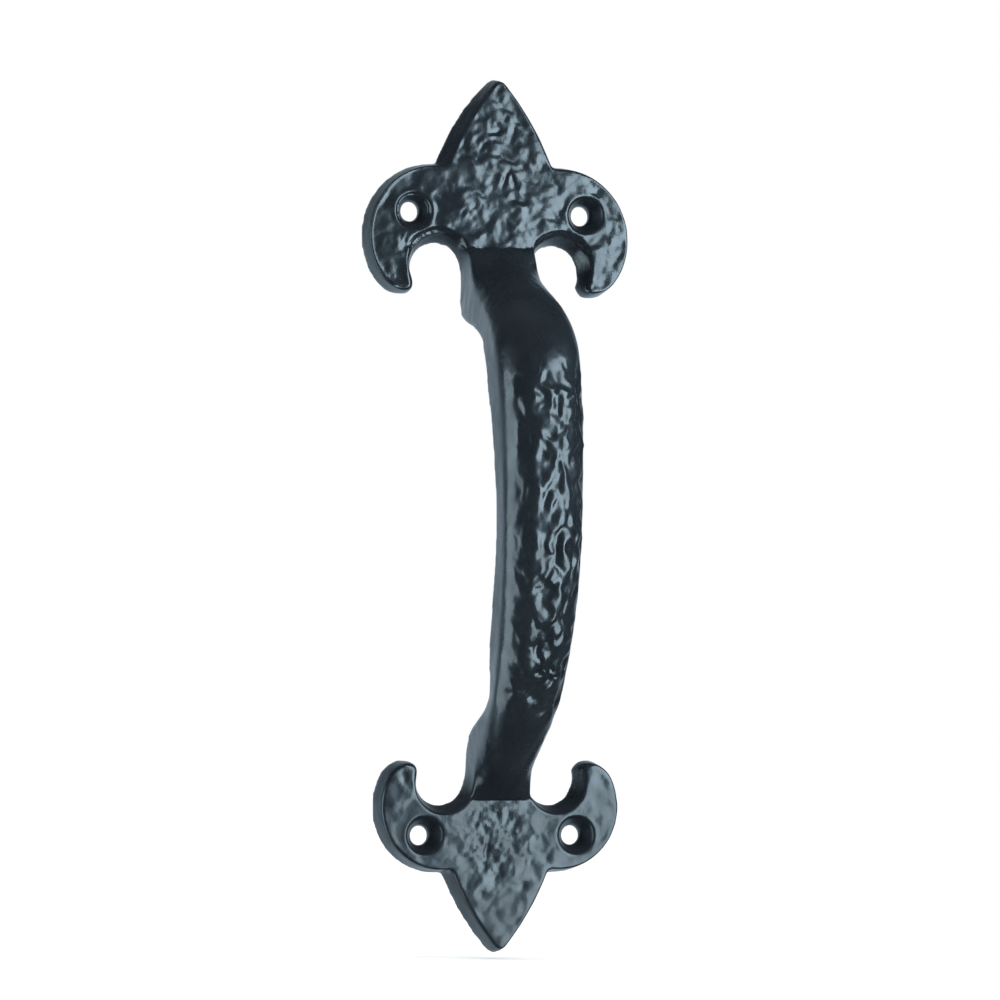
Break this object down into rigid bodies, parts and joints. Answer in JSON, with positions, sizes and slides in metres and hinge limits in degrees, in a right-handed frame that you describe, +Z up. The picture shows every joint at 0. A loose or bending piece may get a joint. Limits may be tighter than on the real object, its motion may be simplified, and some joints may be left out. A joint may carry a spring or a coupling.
{
  "type": "pull handle",
  "caption": "Cast pull handle: a bowed grip between two fleur-shaped fixing plates with countersunk screw holes, finished in black hammered paint.",
  "frame": {"origin": "on the mounting plane, on the handle's centre line, midway between the upper pair and the lower pair of screw holes", "axes": "+Z up along the handle towards the larger fleur, +Y into the door (the mounting plane's outward normal), the grip bows out towards -Y, +X to the right seen from the front"},
  "size_m": [0.0584, 0.038, 0.1822],
  "materials": {
    "black_casting": "black satin-gloss paint over a hammered casting"
  },
  "bodies": {
    "root": {"upper_fleur_plate": "black_casting", "grip_bow": "black_casting", "lower_fleur_plate": "black_casting"}
  },
  "joints": []
}
